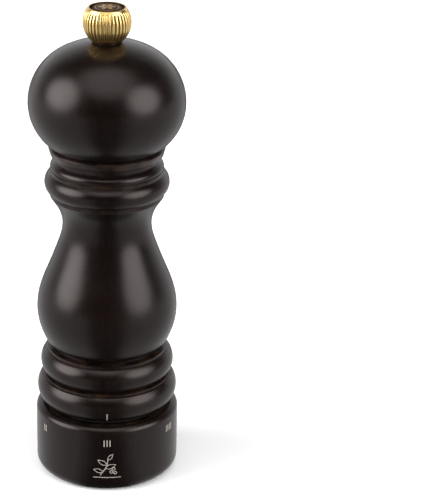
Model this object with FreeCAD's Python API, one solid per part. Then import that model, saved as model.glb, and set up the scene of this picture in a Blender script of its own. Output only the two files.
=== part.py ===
import FreeCAD, Part
import math
import os

# Pepper mill, 180 mm tall, in millimetres. +Z is up, the axis is X = Y = 0, the table is Z = 0.
# A turned wooden body holds the peppercorns. Its loose head turns a square spindle, and the spindle
# turns a toothed cone inside a toothed ring. A wooden ring at the foot clicks round to six marks, and
# a left-hand screw groove inside it raises or lowers the bridge that the cone stands on, which sets
# the grind. A ribbed knob screwed to the spindle holds the head down.

V = FreeCAD.Vector
UP = V(0, 0, 1)
MIDDLE = V(0, 0, 0)

# ---- driving dimensions -------------------------------------------------------------------------
TOTAL_HEIGHT = 180.0
RUNNING_GAP = 0.05        # radial clearance of a pin in its bearing
LOOSE_GAP = 0.2           # clearance between parts that only pass each other

FOOT_RADIUS = 26.55       # wooden click ring at the foot
FOOT_HEIGHT = 26.4
FOOT_BORE = 20.6
FOOT_EDGE = 4.6           # rounding at the table
FOOT_SHOULDER = 2.4       # rounding at the top

BODY_BOTTOM = 28.2
BODY_TOP = 124.8
MECHANISM_BORE = 17.5     # counterbore for the spindle guide
MECHANISM_DEPTH = 14.6
CHAMBER_RADIUS = 15.6     # lower pepper chamber
CHAMBER_TOP = 78.0
MOUTH_RADIUS = 12.5       # upper bore and filling mouth

BALL_RADIUS = 28.5        # head: a ball of three arcs, widest at BALL_MIDDLE
BALL_MIDDLE = 144.5
BALL_LOW_ARC = 19.7
BALL_HIGH_ARC = 21.3
BALL_TOP = 167.5
HEAD_BOTTOM = 125.0
SPIGOT_RADIUS = 12.2      # turned plug under the head that centres it in the mouth
SPIGOT_LENGTH = 8.0
HEAD_BORE = 3.8
KNOB_SEAT = 167.1         # small flat on top of the head

SHAFT_SIDE = 5.0          # square spindle, with its corners turned to a round
SHAFT_CORNER = 3.3
SHAFT_BOTTOM = 4.6
SHAFT_TOP = 176.4
PIVOT_RADIUS = 2.4
PIVOT_TOP = 10.4
THREAD_BOTTOM = 162.0
THREAD_RADIUS = 2.46      # M5 thread, drawn plain at its outside size

GRIND_STEPS = 6           # marks round the click ring, one every 60 degrees
SCREW_LEAD = 3.0          # rise of the bridge in one turn of the click ring
GROOVE_HEIGHT = 1.6
GROOVE_DEPTH = 1.4

CARRIER_BORE = 17.4       # bore of the moulded ring inside the wooden click ring
HOUSING_RADIUS = 17.2
HOUSING_BORE = 14.2
HOUSING_BOTTOM = 3.4
FLANGE_RADIUS = 22.3
FLANGE_BOTTOM = 26.7
WEB_BOTTOM = 24.4         # the toothed ring seats against this web
WEB_BORE = 11.5
BRIDGE_BOTTOM = 6.0
BRIDGE_THICKNESS = 3.0
BRIDGE_WIDTH = 5.0
RING_BOTTOM = 12.6        # toothed ring
CONE_BOTTOM = 9.8         # toothed cone, on the washer that lies on the bridge
CONE_SKIRT = 12.8
CONE_NECK = 17.4          # where the breaking flutes turn into fine teeth
CONE_TOP = 24.6
FINE_TEETH = 24
GUIDE_TOP = 42.0
HUB_BOTTOM = 37.0
HUB_TOP = 41.0
CLIP_BOTTOM = 35.2
SPRING_SEAT_BOTTOM = 34.3

KNOB_RADIUS = 8.7
KNOB_MIDDLE = 174.3
KNOB_FOOT = 167.6
KNOB_RIM = 179.8
KNOB_RIBS = 36


# ---- helpers ------------------------------------------------------------------------------------
def section(start, *steps):
    """A closed face in the XZ plane. A step (r, z) is a line to that point, a step (r1, z1, r2, z2) is
    an arc through the first point to the second, and an edge is taken as it is."""
    edges = []
    here = start
    for step in steps:
        if isinstance(step, Part.Shape):
            edges.append(step)
            last = step.Vertexes[-1].Point
            here = (last.x, last.z)
            continue
        there = step[-2:]
        begin = V(here[0], 0, here[1])
        end = V(there[0], 0, there[1])
        if len(step) == 4:
            edges.append(Part.Arc(begin, V(step[0], 0, step[1]), end).toShape())
        else:
            edges.append(Part.makeLine(begin, end))
        here = there
    edges.append(Part.makeLine(V(here[0], 0, here[1]), V(start[0], 0, start[1])))
    return Part.Face(Part.Wire(edges))


def turned(start, *steps):
    """A solid turned about Z from a section."""
    return section(start, *steps).revolve(MIDDLE, UP, 360)


def tube(outer, inner, bottom, top):
    """A plain ring, or a disc where inner is 0."""
    solid = Part.makeCylinder(outer, top - bottom, V(0, 0, bottom))
    if inner:
        solid = solid.cut(Part.makeCylinder(inner, top - bottom + 2, V(0, 0, bottom - 1)))
    return solid


def block(x, y, z, x_side, y_side, z_side):
    """A box centred on (x, y) that stands on z."""
    return Part.makeBox(x_side, y_side, z_side, V(x - x_side / 2, y - y_side / 2, z))


def around(shape, angle):
    """A copy turned about Z by an angle in degrees."""
    copy = shape.copy()
    copy.rotate(MIDDLE, UP, angle)
    return copy


def ring_of(shape, count, first=0.0):
    """Copies evenly spaced about Z, the first one turned to the given angle."""
    return [around(shape, first + 360.0 * k / count) for k in range(count)]


def bulge(widest, middle, radius, z):
    """Radius at height z of a bead: an arc of the given radius that is widest at height middle."""
    return widest - radius + math.sqrt(radius ** 2 - (z - middle) ** 2)


def bead(widest, middle, radius, bottom, top):
    """A bead as one arc step of a section, from its bottom crease to its top crease."""
    return (widest, middle, bulge(widest, middle, radius, top), top)


def square_bar(side, corner, bottom, top):
    """A square bar along Z with its corners turned to a radius."""
    bar = block(0, 0, bottom, side, side, top - bottom)
    return bar.common(Part.makeCylinder(corner, top - bottom, V(0, 0, bottom)))


def screw(x, y, seat, head_radius, head_height, shank_radius, length):
    """A screw driven upwards: domed head below seat, cross slot in it, and a pointed shank above."""
    head = turned(
        (0, seat - head_height),
        (head_radius * 0.6, seat - head_height),
        (head_radius * 0.92, seat - head_height * 0.7, head_radius, seat),
        (0, seat),
    )
    slot = block(0, 0, seat - head_height, head_radius * 1.1, head_radius * 0.22, head_height * 0.5)
    head = head.cut(slot.fuse(around(slot, 90)))
    point = shank_radius * 2
    shank = turned(
        (0, seat),
        (shank_radius, seat),
        (shank_radius, seat + length - point),
        (shank_radius * 0.2, seat + length),
        (0, seat + length),
    )
    whole = head.fuse(shank).removeSplitter()
    whole.translate(V(x, y, 0))
    return whole


# ---- wooden casing ------------------------------------------------------------------------------
LOWER_BEAD = (26.0, 33.2, 7.2)       # widest radius, height there, arc radius
UPPER_BEAD = (24.7, 43.7, 6.4)
NECK_BEAD = (22.8, 114.35, 4.65)
FLANGE_SCREW_CIRCLE = 20.2
FLANGE_SCREW_RADIUS = 1.1


def body_profile():
    """Outside of the body from its bottom edge up to its top rim."""
    lower_end = 37.7
    upper_start = 39.3
    upper_end = 48.3
    neck_start = 110.8
    neck_end = 118.0
    pear = Part.BSplineCurve()
    pear.interpolate([
        V(22.95, 0, 53.4),
        V(24.5, 0, 57.1),
        V(25.5, 0, 60.9),
        V(25.9, 0, 65.0),
        V(25.45, 0, 69.9),
        V(24.0, 0, 75.1),
        V(21.2, 0, 82.1),
        V(18.45, 0, 89.2),
        V(16.9, 0, 94.0),
        V(16.35, 0, 98.2),
        V(16.95, 0, 102.2),
        V(18.55, 0, 105.8),
        V(20.65, 0, 108.9),
    ])
    return [
        bead(*LOWER_BEAD, BODY_BOTTOM, lower_end),
        (23.75, 37.9),
        (23.75, 38.7),
        (22.65, 38.95),
        (bulge(*UPPER_BEAD, upper_start), upper_start),
        bead(*UPPER_BEAD, upper_start, upper_end),
        (22.25, 48.5),
        (22.25, 49.6),
        (20.35, 50.1),
        (20.45, 50.9),
        (21.9, 51.85, 22.95, 53.4),
        pear.toShape(),
        (20.85, 109.2),
        (20.85, 110.6),
        (bulge(*NECK_BEAD, neck_start), neck_start),
        bead(*NECK_BEAD, neck_start, neck_end),
        (20.8, 118.2),
        (20.8, 119.4),
        (20.5, 119.6),
        (20.7, 120.1),
        (20.3, 121.5, 19.2, 122.4),
        (18.7, 122.9),
        (18.7, BODY_TOP),
    ]


def body_shell():
    """Beech body, bored from both ends, with pilot holes for the three flange screws."""
    shoulder = BODY_BOTTOM + MECHANISM_DEPTH
    drill_point = 4.0
    outer_bottom = bulge(*LOWER_BEAD, BODY_BOTTOM)
    shell = turned(
        (MECHANISM_BORE, BODY_BOTTOM),
        (outer_bottom, BODY_BOTTOM),
        *body_profile(),
        (MOUTH_RADIUS + 0.5, BODY_TOP),
        (MOUTH_RADIUS, BODY_TOP - 0.5),
        (MOUTH_RADIUS, CHAMBER_TOP + drill_point),
        (CHAMBER_RADIUS, CHAMBER_TOP),
        (CHAMBER_RADIUS, shoulder),
        (MECHANISM_BORE, shoulder),
    )
    pilot = Part.makeCylinder(
        FLANGE_SCREW_RADIUS + 0.02, FLANGE_SCREW_LENGTH, V(FLANGE_SCREW_CIRCLE, 0, BODY_BOTTOM - 1)
    )
    return shell.cut(ring_of(pilot, 3, 90))


def on_arc(centre, radius, angle):
    """The point (r, z) of an arc at an angle in degrees above the outward direction."""
    turn = math.radians(angle)
    return centre[0] + radius * math.cos(turn), centre[1] + radius * math.sin(turn)


def head_shell():
    """Beech head: ball, short collar that covers the joint, and a plug for the mouth. The shoulder arc
    runs on into a flatter cap, whose centre is on the axis and which is tangent to the shoulder."""
    low_centre = (BALL_RADIUS - BALL_LOW_ARC, BALL_MIDDLE)
    high_centre = (BALL_RADIUS - BALL_HIGH_ARC, BALL_MIDDLE)
    rise = BALL_TOP - BALL_MIDDLE
    spare = rise - BALL_HIGH_ARC
    cap_radius = BALL_HIGH_ARC + (high_centre[0] ** 2 + spare ** 2) / (2 * spare)
    cap_centre = (0, BALL_TOP - cap_radius)
    join = math.degrees(math.atan2(BALL_MIDDLE - cap_centre[1], high_centre[0]))
    seat = math.degrees(math.asin((KNOB_SEAT - cap_centre[1]) / cap_radius))
    crease = -53.5
    return turned(
        (HEAD_BORE, HEAD_BOTTOM - SPIGOT_LENGTH),
        (SPIGOT_RADIUS - 0.6, HEAD_BOTTOM - SPIGOT_LENGTH),
        (SPIGOT_RADIUS, HEAD_BOTTOM - SPIGOT_LENGTH + 0.6),
        (SPIGOT_RADIUS, HEAD_BOTTOM),
        (20.3, HEAD_BOTTOM),
        (20.6, HEAD_BOTTOM + 0.3),
        (21.25, 127.6),
        (20.85, 128.1),
        (20.3, 128.3),
        on_arc(low_centre, BALL_LOW_ARC, crease),
        (*on_arc(low_centre, BALL_LOW_ARC, crease / 2), BALL_RADIUS, BALL_MIDDLE),
        (*on_arc(high_centre, BALL_HIGH_ARC, join / 2), *on_arc(high_centre, BALL_HIGH_ARC, join)),
        (*on_arc(cap_centre, cap_radius, (join + seat) / 2), *on_arc(cap_centre, cap_radius, seat)),
        (HEAD_BORE, KNOB_SEAT),
    )


def base_ring():
    """Beech click ring that the mill stands on."""
    low = FOOT_RADIUS - FOOT_EDGE
    high = FOOT_RADIUS - FOOT_SHOULDER
    slant = math.sqrt(0.5)
    return turned(
        (FOOT_BORE, 0.3),
        (FOOT_BORE + 0.3, 0),
        (low, 0),
        (low + FOOT_EDGE * slant, FOOT_EDGE * (1 - slant), FOOT_RADIUS, FOOT_EDGE),
        (FOOT_RADIUS, FOOT_HEIGHT - FOOT_SHOULDER),
        (high + FOOT_SHOULDER * slant, FOOT_HEIGHT - FOOT_SHOULDER * (1 - slant), high, FOOT_HEIGHT),
        (FOOT_BORE, FOOT_HEIGHT),
    )


# ---- click ring carrier and bridge --------------------------------------------------------------
CARRIER_BOTTOM = 1.2
CARRIER_TOP = 26.0
PLATE_SHOULDER = 3.6      # the retaining plate runs under this shoulder
PLATE_RADIUS = 19.5
LUG_LENGTH = 4.0
LUG_HEIGHT = 1.2
FIRST_LUG_Z = 8.25        # middle of the lug on the +X arm
CLICK_HEIGHT = 18.0
NOTCH_RADIUS = 1.2


def screw_groove():
    """The left-hand square groove, as a solid to cut away. Its height falls by one lead in a turn. It
    runs from 130 degrees before the +X lug to 370 degrees past it, so both lugs have their whole
    travel, from two steps up to three steps down."""
    before = 130.0
    past = 370.0
    turns = (before + past) / 360
    top_z = FIRST_LUG_Z + SCREW_LEAD * before / 360
    bottom_z = top_z - SCREW_LEAD * turns
    middle_radius = CARRIER_BORE + 0.2
    spine = Part.makeHelix(SCREW_LEAD, SCREW_LEAD * turns, middle_radius, 0, True)
    half = GROOVE_HEIGHT / 2
    inner = CARRIER_BORE - 1.0
    outer = CARRIER_BORE + GROOVE_DEPTH
    corners = [V(inner, 0, -half), V(outer, 0, -half), V(outer, 0, half), V(inner, 0, half)]
    profile = Part.makePolygon(corners + corners[:1])
    groove = Part.Wire(spine.Edges).makePipeShell([profile], True, True)
    groove = Part.Solid(groove) if groove.ShapeType == "Shell" else groove
    groove.translate(V(0, 0, bottom_z))
    return around(groove, past)


def adjuster_ring():
    """Moulded ring glued inside the wooden click ring: screw groove, six click notches, plate seat."""
    ring = turned(
        (CARRIER_BORE, PLATE_SHOULDER),
        (PLATE_RADIUS + LOOSE_GAP, PLATE_SHOULDER),
        (PLATE_RADIUS + LOOSE_GAP, CARRIER_BOTTOM),
        (FOOT_BORE, CARRIER_BOTTOM),
        (FOOT_BORE, CARRIER_TOP),
        (CARRIER_BORE, CARRIER_TOP),
    )
    notch = Part.makeCylinder(NOTCH_RADIUS, 6, V(CARRIER_BORE - 0.5, 0, CLICK_HEIGHT - 3))
    return ring.cut([screw_groove()] + ring_of(notch, GRIND_STEPS, 30))


def thrust_bridge():
    """Bar across the housing. Its two lugs lie in the screw groove, half a lead apart in height."""
    reach = HOUSING_RADIUS - LOOSE_GAP
    hub_radius = 5.6
    bar = block(0, 0, BRIDGE_BOTTOM, 2 * reach, BRIDGE_WIDTH, BRIDGE_THICKNESS)
    bar = bar.common(Part.makeCylinder(reach, 30))
    bridge = bar.fuse(tube(hub_radius, 0, BRIDGE_BOTTOM, BRIDGE_BOTTOM + BRIDGE_THICKNESS))
    lug_tip = CARRIER_BORE + GROOVE_DEPTH - LOOSE_GAP
    for side, z in ((1, FIRST_LUG_Z), (-1, FIRST_LUG_Z - SCREW_LEAD / 2)):
        middle = side * (lug_tip + reach - 1.0) / 2
        lug = block(middle, 0, z - LUG_HEIGHT / 2, lug_tip - reach + 1.0, LUG_LENGTH, LUG_HEIGHT)
        bridge = bridge.fuse(lug.common(Part.makeCylinder(lug_tip, 30)))
    bridge = bridge.removeSplitter()
    return bridge.cut(Part.makeCylinder(PIVOT_RADIUS + RUNNING_GAP, 30))


def thrust_washer():
    """Washer between the bridge and the turning cone."""
    return tube(5.0, 3.6, BRIDGE_BOTTOM + BRIDGE_THICKNESS, CONE_BOTTOM)


# ---- fixed mechanism ----------------------------------------------------------------------------
CLIP_GROOVE_BOTTOM = 11.5
CLIP_GROOVE_TOP = 12.5
CLIP_GROOVE_RADIUS = 15.1
PLATE_SCREW_CIRCLE = 15.7
PLATE_SCREW_RADIUS = 0.8
PLATE_THICKNESS = 1.2
FLANGE_SCREW_LENGTH = 12.0
POCKET_WIDTH = 11.0
POCKET_HEIGHT = 5.0
POCKET_FLOOR = 15.8


def mechanism_housing():
    """Moulded sleeve and flange under the body. The click ring turns on the sleeve, the bridge slides
    in its two slots, and the toothed ring sits in its bore."""
    sleeve = turned(
        (HOUSING_BORE, HOUSING_BOTTOM),
        (HOUSING_RADIUS, HOUSING_BOTTOM),
        (HOUSING_RADIUS, FLANGE_BOTTOM),
        (FLANGE_RADIUS - 0.4, FLANGE_BOTTOM),
        (FLANGE_RADIUS, FLANGE_BOTTOM + 0.4),
        (FLANGE_RADIUS, BODY_BOTTOM),
        (WEB_BORE + 2.0, BODY_BOTTOM),
        (WEB_BORE, WEB_BOTTOM + 1.4),
        (WEB_BORE, WEB_BOTTOM),
        (HOUSING_BORE, WEB_BOTTOM),
        (HOUSING_BORE, CLIP_GROOVE_TOP),
        (CLIP_GROOVE_RADIUS, CLIP_GROOVE_TOP),
        (CLIP_GROOVE_RADIUS, CLIP_GROOVE_BOTTOM),
        (HOUSING_BORE, CLIP_GROOVE_BOTTOM),
    )
    slot_top = 10.8
    slot_height = slot_top - HOUSING_BOTTOM + 1
    slot = block(0, 0, HOUSING_BOTTOM - 1, 40, BRIDGE_WIDTH + 2 * LOOSE_GAP, slot_height)
    pocket = block(
        0, POCKET_FLOOR + 5, CLICK_HEIGHT - POCKET_HEIGHT / 2, POCKET_WIDTH, 10, POCKET_HEIGHT
    )
    holes = ring_of(
        Part.makeCylinder(PLATE_SCREW_RADIUS + 0.02, 9, V(PLATE_SCREW_CIRCLE, 0, HOUSING_BOTTOM - 1)),
        3,
        30,
    )
    countersink = Part.makeCone(2.1, FLANGE_SCREW_RADIUS, 1.3, V(FLANGE_SCREW_CIRCLE, 0, FLANGE_BOTTOM))
    through = Part.makeCylinder(
        FLANGE_SCREW_RADIUS + 0.02, 4, V(FLANGE_SCREW_CIRCLE, 0, FLANGE_BOTTOM - 1)
    )
    holes += ring_of(countersink, 3, 90)
    holes += ring_of(through, 3, 90)
    return sleeve.cut([slot, pocket] + holes)


def flange_screws():
    """Three countersunk wood screws that hold the housing to the body."""
    head_bottom = FLANGE_BOTTOM + 0.1
    cone_height = 1.2
    head_radius = 1.95
    top = head_bottom + FLANGE_SCREW_LENGTH - 2
    one = turned(
        (0, head_bottom),
        (head_radius, head_bottom),
        (FLANGE_SCREW_RADIUS, head_bottom + cone_height),
        (FLANGE_SCREW_RADIUS, top - 2),
        (0.2, top),
        (0, top),
    )
    slot = block(0, 0, head_bottom, 2.2, 0.45, 0.6)
    one = one.cut(slot.fuse(around(slot, 90)))
    one.translate(V(FLANGE_SCREW_CIRCLE, 0, 0))
    return Part.makeCompound(ring_of(one, 3, 90))


def shaft_guide():
    """Moulded guide pressed into the body: a ring, three arms and a hub that the spindle runs in."""
    outer = MECHANISM_BORE - 0.1
    inner = 15.2
    hub_radius = 6.0
    arm_width = 2.4
    ring = tube(outer, inner, BODY_BOTTOM, GUIDE_TOP)
    hub = tube(hub_radius, 0, HUB_BOTTOM, HUB_TOP)
    arm_length = inner - hub_radius + 1.6
    arm = block(hub_radius - 0.8 + arm_length / 2, 0, HUB_BOTTOM + 0.4, arm_length, arm_width, 3.0)
    guide = ring.fuse([hub] + ring_of(arm, 3, 90)).removeSplitter()
    return guide.cut(Part.makeCylinder(SHAFT_CORNER + RUNNING_GAP, 60))


def tooth_groove(low_radius, low_z, high_radius, high_z, depth, width, twist):
    """A V groove along a cone line in the XZ plane, from the low point to the high point, with its
    tip sunk by depth towards -X. Twist turns it about X for slanting teeth."""
    run = V(high_radius - low_radius, 0, high_z - low_z)
    length = run.Length
    wedge = Part.Face(Part.makePolygon([
        V(-depth, 0, 0), V(depth * 2, width * 1.5, 0), V(depth * 2, -width * 1.5, 0), V(-depth, 0, 0),
    ])).extrude(V(0, 0, length))
    lean = math.degrees(math.atan2(run.x, run.z))
    wedge.rotate(MIDDLE, V(0, 1, 0), lean)
    wedge.translate(V(low_radius, 0, low_z))
    wedge.rotate(V(0, 0, (low_z + high_z) / 2), V(1, 0, 0), twist)
    return wedge


def grinding_ring():
    """Steel ring with breaking teeth above its neck and fine slanting teeth below it."""
    top_radius = 11.3
    neck_radius = 8.7
    bottom_radius = 9.5
    ring = turned(
        (bottom_radius, RING_BOTTOM),
        (HOUSING_BORE - 0.05, RING_BOTTOM),
        (HOUSING_BORE - 0.05, WEB_BOTTOM),
        (top_radius, WEB_BOTTOM),
        (neck_radius, CONE_NECK),
    )
    fine = tooth_groove(-bottom_radius, RING_BOTTOM - 1, -neck_radius, CONE_NECK, 0.5, 0.35, 12)
    coarse = tooth_groove(-neck_radius, CONE_NECK - 0.4, -top_radius, WEB_BOTTOM + 1, 1.1, 0.8, 25)
    return ring.cut(ring_of(fine, FINE_TEETH) + ring_of(coarse, FINE_TEETH // 3))


def stator_clip():
    """Open spring clip that keeps the toothed ring up in its bore."""
    clip = tube(CLIP_GROOVE_RADIUS - 0.1, 13.3, CLIP_GROOVE_BOTTOM + 0.1, CLIP_GROOVE_TOP - 0.1)
    ear = Part.makeCylinder(1.3, 0.8, V(13.0, 0, CLIP_GROOVE_BOTTOM + 0.1))
    eye = Part.makeCylinder(0.5, 3, V(12.9, 0, CLIP_GROOVE_BOTTOM - 1))
    gap_angle = 12
    gap = block(14, 0, CLIP_GROOVE_BOTTOM - 1, 6, 4.2, 4)
    clip = clip.cut(around(gap, 90))
    for side in (-1, 1):
        clip = clip.fuse(around(ear, 90 + side * gap_angle)).cut(around(eye, 90 + side * gap_angle))
    return clip.removeSplitter()


def click_spring():
    """Leaf spring in the sleeve's pocket. Its nose points at the notches, drawn pressed in so that it
    clears the plain wall between them."""
    thickness = 0.3
    half = POCKET_WIDTH / 2 - 0.3
    foot = POCKET_FLOOR + 0.05
    nose = CARRIER_BORE - 0.08
    width = 3.6
    front = [V(-half, foot + thickness, 0), V(-2.2, foot + thickness, 0), V(0, nose, 0)]
    front += [V(2.2, foot + thickness, 0), V(half, foot + thickness, 0)]
    back = [V(half, foot, 0), V(2.4, foot, 0), V(0, nose - thickness * 1.3, 0)]
    back += [V(-2.4, foot, 0), V(-half, foot, 0)]
    face = Part.Face(Part.makePolygon(front + back + front[:1]))
    leaf = face.extrude(V(0, 0, width))
    leaf.translate(V(0, 0, CLICK_HEIGHT - width / 2))
    return leaf


def retaining_plate():
    """Steel ring screwed under the sleeve, which keeps the click ring on."""
    plate = tube(PLATE_RADIUS, 13.6, HOUSING_BOTTOM - PLATE_THICKNESS, HOUSING_BOTTOM)
    hole = Part.makeCylinder(PLATE_SCREW_RADIUS + 0.02, 5, V(PLATE_SCREW_CIRCLE, 0, 0))
    return plate.cut(ring_of(hole, 3, 30))


def plate_screws():
    """Three small domed screws for the retaining plate."""
    seat = HOUSING_BOTTOM - PLATE_THICKNESS
    one = screw(PLATE_SCREW_CIRCLE, 0, seat, 1.9, 1.2, PLATE_SCREW_RADIUS, 8.0)
    return Part.makeCompound(ring_of(one, 3, 30))


# ---- spindle ------------------------------------------------------------------------------------
def drive_shaft():
    """Square steel spindle: round pivot at the foot, clip groove, and a screwed end for the knob."""
    pivot = turned(
        (0, SHAFT_BOTTOM),
        (PIVOT_RADIUS - 0.5, SHAFT_BOTTOM),
        (PIVOT_RADIUS, SHAFT_BOTTOM + 0.5),
        (PIVOT_RADIUS, PIVOT_TOP),
        (0, PIVOT_TOP),
    )
    bar = square_bar(SHAFT_SIDE, SHAFT_CORNER, PIVOT_TOP, THREAD_BOTTOM)
    thread = turned(
        (0, THREAD_BOTTOM),
        (THREAD_RADIUS, THREAD_BOTTOM),
        (THREAD_RADIUS, SHAFT_TOP - 0.7),
        (THREAD_RADIUS - 0.7, SHAFT_TOP),
        (0, SHAFT_TOP),
    )
    groove = tube(6.0, 2.75, CLIP_BOTTOM, CLIP_BOTTOM + 0.8)
    return pivot.fuse([bar, thread]).cut(groove).removeSplitter()


def shaft_clip():
    """Open clip in the spindle's groove, which stops the spindle being pulled up out of the guide."""
    clip = tube(5.8, 2.78, CLIP_BOTTOM + 0.05, CLIP_BOTTOM + 0.75)
    return clip.cut(block(4, 0, CLIP_BOTTOM - 1, 8, 4.6, 4))


def shaft_washer():
    """Washer between the clip and the hub of the guide."""
    return tube(6.2, 3.4, CLIP_BOTTOM + 0.85, HUB_BOTTOM - 0.15)


def spring_seat():
    """Washer that the top of the spring presses on."""
    return tube(6.0, 3.4, SPRING_SEAT_BOTTOM, CLIP_BOTTOM)


def rotor_spring():
    """Coil spring that pushes the cone down on the bridge."""
    wire = 0.4
    coil_radius = 4.7
    turns = 4.5
    low = CONE_TOP + wire + 0.05
    high = SPRING_SEAT_BOTTOM - wire - 0.05
    spine = Part.makeHelix((high - low) / turns, high - low, coil_radius)
    profile = Part.Wire(Part.makeCircle(wire, V(coil_radius, 0, 0), V(0, 1, 0)))
    coil = Part.Wire(spine.Edges).makePipeShell([profile], True, True)
    coil = Part.Solid(coil) if coil.ShapeType == "Shell" else coil
    coil.translate(V(0, 0, low))
    return coil


def grinding_cone():
    """Steel cone on the spindle: six breaking flutes above the neck, fine slanting teeth below it."""
    skirt_radius = 8.95
    neck_radius = 7.9
    top_radius = 5.6
    cone = turned(
        (0, CONE_BOTTOM),
        (4.6, CONE_BOTTOM),
        (4.6, CONE_SKIRT - 0.6),
        (skirt_radius, CONE_SKIRT),
        (neck_radius, CONE_NECK),
        (top_radius, CONE_TOP),
        (0, CONE_TOP),
    )
    fine = tooth_groove(skirt_radius, CONE_SKIRT - 1, neck_radius, CONE_NECK, 0.45, 0.35, -12)
    coarse = tooth_groove(neck_radius, CONE_NECK - 0.4, top_radius, CONE_TOP + 1, 1.3, 0.8, -28)
    hole = block(0, 0, 0, SHAFT_SIDE + 0.12, SHAFT_SIDE + 0.12, 60)
    hole = hole.common(Part.makeCylinder(SHAFT_CORNER + 0.06, 60))
    return cone.cut([hole] + ring_of(fine, FINE_TEETH) + ring_of(coarse, FINE_TEETH // 4))


# ---- head drive ---------------------------------------------------------------------------------
DRIVE_PLATE_BOTTOM = 116.0
DRIVE_SCREW_CIRCLE = 6.9
DRIVE_SCREW_RADIUS = 1.0


def drive_plate():
    """Steel plate under the head's plug, with the square hole that the spindle turns in."""
    top = HEAD_BOTTOM - SPIGOT_LENGTH
    plate = tube(9.6, 0, DRIVE_PLATE_BOTTOM, top)
    hole = block(0, 0, 0, SHAFT_SIDE + 0.16, SHAFT_SIDE + 0.16, 200)
    hole = hole.common(Part.makeCylinder(SHAFT_CORNER + 0.08, 200))
    screw_hole = Part.makeCylinder(DRIVE_SCREW_RADIUS + 0.02, 200, V(DRIVE_SCREW_CIRCLE, 0, 0))
    return plate.cut([hole] + ring_of(screw_hole, 2, 45))


def drive_plate_screws():
    """Two wood screws that hold the drive plate to the head."""
    one = screw(DRIVE_SCREW_CIRCLE, 0, DRIVE_PLATE_BOTTOM, 1.9, 0.9, DRIVE_SCREW_RADIUS, 7.0)
    return Part.makeCompound(ring_of(one, 2, 45))


def head_with_screw_holes():
    """The head, drilled for the two drive plate screws."""
    pilot = Part.makeCylinder(DRIVE_SCREW_RADIUS + 0.02, 9, V(DRIVE_SCREW_CIRCLE, 0, DRIVE_PLATE_BOTTOM))
    return head_shell().cut(ring_of(pilot, 2, 45))


# ---- knob ---------------------------------------------------------------------------------------
RECESS_RADIUS = 6.3
RECESS_FLOOR = 178.6
DISC_RADIUS = 5.2
KNOB_BORE = THREAD_RADIUS + 0.09
INSERT_BOTTOM = 172.0
INSERT_TOP = 173.6
INSERT_RADIUS = 3.4
RIBS_BOTTOM = 168.4
RIBS_TOP = 178.8


def knob_shell():
    """Brass ball knob with a recess for the disc and a tapped hole. Each rib groove goes round both
    sides of the ball, and half a turn of them makes the full ring of ribs."""
    foot_radius = math.sqrt(KNOB_RADIUS ** 2 - (KNOB_MIDDLE - KNOB_FOOT) ** 2)
    rim_start = KNOB_RIM - 0.35
    rim_radius = math.sqrt(KNOB_RADIUS ** 2 - (rim_start - KNOB_MIDDLE) ** 2)
    knob = turned(
        (KNOB_BORE, KNOB_FOOT),
        (foot_radius, KNOB_FOOT),
        (KNOB_RADIUS, KNOB_MIDDLE, rim_radius, rim_start),
        (rim_radius - 0.12, KNOB_RIM - 0.1, rim_radius - 0.3, KNOB_RIM),
        (RECESS_RADIUS, KNOB_RIM),
        (RECESS_RADIUS, RECESS_FLOOR),
        (0, RECESS_FLOOR),
        (0, RECESS_FLOOR - 1.2),
        (KNOB_BORE, RECESS_FLOOR - 1.2),
        (KNOB_BORE, INSERT_TOP),
        (INSERT_RADIUS, INSERT_TOP),
        (INSERT_RADIUS, INSERT_BOTTOM),
        (KNOB_BORE, INSERT_BOTTOM),
    )
    rib_groove = Part.makeTorus(KNOB_RADIUS + 0.22, 0.5, V(0, 0, KNOB_MIDDLE), V(0, 1, 0))
    ribbed_zone = Part.makeCylinder(20, RIBS_TOP - RIBS_BOTTOM, V(0, 0, RIBS_BOTTOM))
    rib_groove = rib_groove.common(ribbed_zone)
    half_turn = [around(rib_groove, 360.0 * k / KNOB_RIBS) for k in range(KNOB_RIBS // 2)]
    return knob.cut(half_turn)


def knob_disc():
    """Disc set in the top of the knob, its face part of a sphere about the axis."""
    rise = 0.5
    sphere = (DISC_RADIUS ** 2 + rise ** 2) / (2 * rise)
    half = DISC_RADIUS / 2
    half_z = TOTAL_HEIGHT - sphere + math.sqrt(sphere ** 2 - half ** 2)
    return turned(
        (0, RECESS_FLOOR),
        (DISC_RADIUS, RECESS_FLOOR),
        (DISC_RADIUS, TOTAL_HEIGHT - rise),
        (half, half_z, 0, TOTAL_HEIGHT),
    )


def knob_lock_insert():
    """Nylon ring in the knob's thread, which stops the knob working loose."""
    return tube(INSERT_RADIUS, THREAD_RADIUS + 0.04, INSERT_BOTTOM, INSERT_TOP)


def knob_washer():
    """Thin washer between the knob and the head."""
    return tube(4.7, 3.0, KNOB_SEAT + 0.05, KNOB_FOOT - 0.05)


PARTS = {
    "body_shell": body_shell,
    "base_ring": base_ring,
    "head_shell": head_with_screw_holes,
    "adjuster_ring": adjuster_ring,
    "thrust_bridge": thrust_bridge,
    "thrust_washer": thrust_washer,
    "mechanism_housing": mechanism_housing,
    "flange_screws": flange_screws,
    "shaft_guide": shaft_guide,
    "grinding_ring": grinding_ring,
    "stator_clip": stator_clip,
    "click_spring": click_spring,
    "retaining_plate": retaining_plate,
    "plate_screws": plate_screws,
    "drive_shaft": drive_shaft,
    "shaft_clip": shaft_clip,
    "shaft_washer": shaft_washer,
    "spring_seat": spring_seat,
    "rotor_spring": rotor_spring,
    "grinding_cone": grinding_cone,
    "drive_plate": drive_plate,
    "drive_plate_screws": drive_plate_screws,
    "knob_shell": knob_shell,
    "knob_disc": knob_disc,
    "knob_lock_insert": knob_lock_insert,
    "knob_washer": knob_washer,
}

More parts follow.
